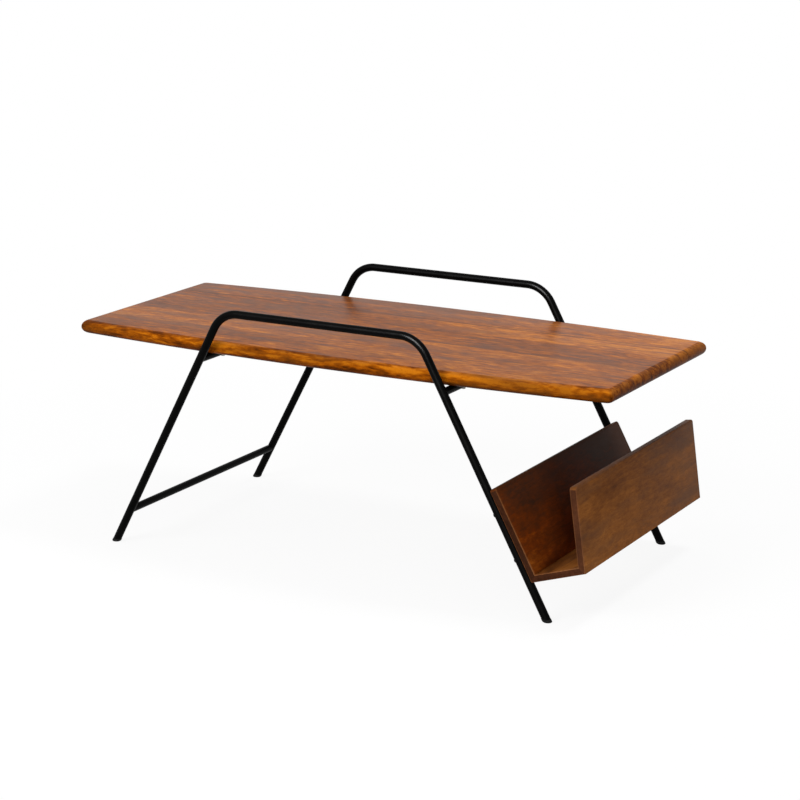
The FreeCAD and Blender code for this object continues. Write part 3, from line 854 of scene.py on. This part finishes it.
def rack_materials(label):
    """A rack board's wood on its faces, its arrises and its ends."""
    tones, dull_colour, start, tone_shift, drift, end_shift = RACK_LOOKS[label]
    made = {
        "face": rack_wood("face", label, tones, dull_colour, start, tone_shift, drift),
        "arris": rack_wood("arris", label, EDGE_TONES, dull_colour, start, tone_shift, drift),
        "end": rack_wood("end", label, END_TONES, END_DULL_COLOUR, start, end_shift),
    }
    return [made[part] for part in RACK_PARTS]


def rack():
    """The trough on the right legs: back, bottom and front, and the tongues in its mitres."""
    right = SIDES["right"]
    foot = Vector((FOOT_SPAN / 2, 0, 0))
    back_corner = foot + leg_direction(right) * RACK_START + leg_outward(right) * TUBE_RADIUS
    tilt = LEAN - RACK_FLARE_ANGLE
    front_corner = back_corner + RACK_BOTTOM_WIDTH * Vector((math.cos(tilt), 0, math.sin(tilt)))
    back_angle = math.pi / 2 + LEAN
    front_angle = back_angle - 2 * RACK_FLARE_ANGLE
    rack_board("back", back_corner, back_angle, RACK_BACK_LENGTH, inside=-1, both_mitred=False)
    rack_board("bottom", back_corner, tilt, RACK_BOTTOM_WIDTH, inside=1, both_mitred=True)
    rack_board("front", front_corner, front_angle, RACK_FRONT_LENGTH, inside=1, both_mitred=False)
    tongue = wood("tongue_wood", EDGE_TONES, FRONT_DULL_COLOUR, RACK_FIGURE,
                  TONGUE_START, TONGUE_TONE_SHIFT, turn=RACK_GRAIN_TURN)
    for label in ("back", "front"):
        repaint("rack_%s_spline" % label, tongue)


# The screws

def hexagon(angle):
    """How far a six-sided outline reaches at an angle, as a share of its corners' reach."""
    return math.cos(math.pi / 6) / math.cos(angle % (math.pi / 3) - math.pi / 6)


def turned(base, axis, profile):
    """Rings round an axis through places along it, each with its radius and whether it is six-sided."""
    side = axis.orthogonal().normalized()
    other = axis.cross(side)
    rings = []
    for along, radius, six_sided in profile:
        reaches = [(angle, radius * (hexagon(angle) if six_sided else 1)) for angle in full_turn()]
        rings.append([base + axis * along + reach * (math.cos(angle) * side + math.sin(angle) * other)
                      for angle, reach in reaches])
    return rings


def shank(length):
    """The profile of a screw's plain shank and its blunt tip."""
    return [(0.0, SCREW_RADIUS, False),
            (length - SCREW_RADIUS, SCREW_RADIUS, False),
            (length, SCREW_TIP_RADIUS, False)]


def screw_set(name, cad_node, spots, profile, made):
    """Equal screws at their own bases and axes, as one group of separate solids."""
    points = []
    faces = []
    for base, axis in spots:
        own_points, sides, caps = loft(turned(base, axis, profile))
        faces += [tuple(len(points) + index for index in face) for face in sides + caps]
        points += own_points
    mesh = bpy.data.meshes.new(name)
    mesh.from_pydata(points, [], faces)
    mesh.shade_smooth()
    dress(name, mesh, cad_node, [made])


def top_screws():
    """Zinc-plated screws with hexagon heads, up through the crossbars into the top."""
    spots = []
    for label in SIDES:
        low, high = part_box("top_crossbar_" + label)
        for face in FACES.values():
            base = Vector(((low.x + high.x) / 2, face * TOP_SCREW_SHARE * TOP_WIDTH, low.z))
            spots.append((base, Vector((0, 0, 1))))
    height = TOP_SCREW_HEAD_HEIGHT
    head = [(-height, SCREW_HEAD_RADIUS - 2 * SCREW_EDGE_RADIUS, False),
            (SCREW_EDGE_RADIUS - height, SCREW_HEAD_RADIUS, True),
            (0.0, SCREW_HEAD_RADIUS, True)]
    length = high.z - low.z + TOP_SCREW_BITE
    screw_set("screws_top", "top_screws", spots, head + shank(length), zinc_steel())


def rack_screws():
    """Black screws with low domed heads and six-sided sockets, through the right legs into the rack."""
    right = SIDES["right"]
    outward = leg_outward(right)
    spots = []
    for face in FACES.values():
        foot = Vector((FOOT_SPAN / 2, face * FRAME_Y, 0)) - outward * TUBE_RADIUS
        for place in RACK_SCREW_PLACES:
            base = foot + leg_direction(right) * (RACK_START + place)
            spots.append((base, outward))
    height = RACK_SCREW_HEAD_HEIGHT
    rim = SCREW_HEAD_RADIUS - SOCKET_RADIUS
    socket = [(SOCKET_DEPTH - height, SOCKET_RADIUS, True), (-height, SOCKET_RADIUS, True)]
    dome = [(-height * math.cos(angle), SOCKET_RADIUS + rim * math.sin(angle), False)
            for angle in quarter_turn()[1:]]
    profile = socket + dome + shank(2 * TUBE_RADIUS + RACK_SCREW_BITE)
    screw_set("screws_rack", "rack_screws", spots, profile, black_steel())


# Studio

FLOOR_HALF = 12.0
FLOOR_BOUNCE = (0.50, 0.49, 0.48, 1.0)
FLOOR_NEAR = 0.6
FLOOR_FAR = 1.5
FLOOR_GLOW_NEAR = 0.9
LIGHT_SIDE = (-0.55, -0.65, 0.52)
AMBIENT_LEAST = 0.03
AMBIENT_MOST = 0.62

# Lamps: name, place, width, height and watts
LAMP_TARGET = Vector((0.0, 0.0, 0.3))
SOFT_LAMPS = (
    ("key", (-1.2, -3.2, 2.4), 2.0, 1.6, 90.0),
    ("fill", (2.6, -3.0, 0.45), 0.9, 0.6, 45.0),
    ("overhead", (0.95, 0.35, 2.8), 0.6, 0.6, 30.0),
)
GLINT_LAMP = ("glint", (0.04, -3.55, 2.54), 2.0, 1.6, 1800.0)


def seen_directly(tree):
    """1 for rays from the camera or by a mirror-like path, 0 for light that is scattered."""
    path = node(tree, "ShaderNodeLightPath")
    seen = calc(tree, "MAXIMUM", path.outputs["Is Camera Ray"], path.outputs["Is Glossy Ray"])
    return calc(tree, "MAXIMUM", seen, path.outputs["Is Transmission Ray"])


def floor():
    """A pale floor that glows white to the camera and still takes the table's shadow."""
    mesh = bpy.data.meshes.new("floor")
    corners = [(-FLOOR_HALF, -FLOOR_HALF, 0), (FLOOR_HALF, -FLOOR_HALF, 0),
               (FLOOR_HALF, FLOOR_HALF, 0), (-FLOOR_HALF, FLOOR_HALF, 0)]
    mesh.from_pydata(corners, [], [(0, 1, 2, 3)])
    obj = bpy.data.objects.new("floor", mesh)
    bpy.context.scene.collection.objects.link(obj)

    made = bpy.data.materials.new("floor_paper")
    made.use_nodes = True
    tree = made.node_tree
    tree.nodes.clear()
    seen = seen_directly(tree)
    paper = node(tree, "ShaderNodeBsdfDiffuse", {"Color": mixed(tree, seen, FLOOR_BOUNCE, WHITE)})
    glow = node(tree, "ShaderNodeEmission", {"Color": WHITE, "Strength": 1.0})
    place = node(tree, "ShaderNodeTexCoord").outputs["Object"]
    distance = vector_calc(tree, "LENGTH", place).outputs["Value"]
    glow_share = mapped(tree, distance, FLOOR_NEAR, FLOOR_FAR, low=FLOOR_GLOW_NEAR)
    share = calc(tree, "MULTIPLY", seen, glow_share)
    both = node(tree, "ShaderNodeMixShader", {0: share, 1: paper.outputs[0], 2: glow.outputs[0]})
    node(tree, "ShaderNodeOutputMaterial", {"Surface": both.outputs[0]})
    mesh.materials.append(made)


def backdrop():
    """A white surrounding to look at, and a plain soft light from all round."""
    world = bpy.data.worlds.new("studio")
    bpy.context.scene.world = world
    world.use_nodes = True
    tree = world.node_tree
    tree.nodes.clear()
    way = node(tree, "ShaderNodeTexCoord").outputs["Generated"]
    towards = vector_calc(tree, "DOT_PRODUCT", way, LIGHT_SIDE).outputs["Value"]
    soft = mapped(tree, towards, -1.0, 1.0, AMBIENT_LEAST, AMBIENT_MOST)
    strength = mapped(tree, seen_directly(tree), 0.0, 1.0, low=soft)
    light = node(tree, "ShaderNodeBackground", {"Color": WHITE, "Strength": strength})
    node(tree, "ShaderNodeOutputWorld", {"Surface": light.outputs[0]})


def softbox(name, place, width, height, watts):
    """A rectangular area light that faces the table."""
    light = bpy.data.lights.new(name, "AREA")
    light.shape = "RECTANGLE"
    light.size = width
    light.size_y = height
    light.energy = watts
    obj = bpy.data.objects.new(name, light)
    obj.location = place
    obj.rotation_euler = (LAMP_TARGET - Vector(place)).to_track_quat("-Z", "Y").to_euler()
    obj.visible_camera = False
    bpy.context.scene.collection.objects.link(obj)
    return obj


def lights(tubes):
    """Soft lamps that no surface mirrors, and one that only the side frames' tubes mirror."""
    for lamp in SOFT_LAMPS:
        soft = softbox(*lamp)
        soft.visible_glossy = False
    glint = softbox(*GLINT_LAMP)
    glint.visible_diffuse = False
    lit = bpy.data.collections.new("tubes")
    for tube in tubes:
        lit.objects.link(tube)
    glint.light_linking.receiver_collection = lit


def camera():
    """The photograph's camera."""
    forward = Vector((math.sin(CAMERA_YAW) * math.cos(CAMERA_PITCH),
                      math.cos(CAMERA_YAW) * math.cos(CAMERA_PITCH),
                      -math.sin(CAMERA_PITCH)))
    right = Vector((math.cos(CAMERA_YAW), -math.sin(CAMERA_YAW), 0))
    down = forward.cross(right)
    image_right = math.cos(CAMERA_ROLL) * right + math.sin(CAMERA_ROLL) * down
    image_down = math.cos(CAMERA_ROLL) * down - math.sin(CAMERA_ROLL) * right
    data = bpy.data.cameras.new("camera")
    data.lens = CAMERA_LENS_MM
    obj = bpy.data.objects.new("camera", data)
    axes = Matrix((image_right, -image_down, -forward)).transposed()
    obj.matrix_world = Matrix.Translation(CAMERA_PLACE) @ axes.to_4x4()
    bpy.context.scene.collection.objects.link(obj)
    bpy.context.scene.camera = obj


camera()
top()
side_frames = frames()
rack()
top_screws()
rack_screws()
floor()
backdrop()
lights(side_frames)
bpy.context.scene.view_settings.view_transform = "Standard"
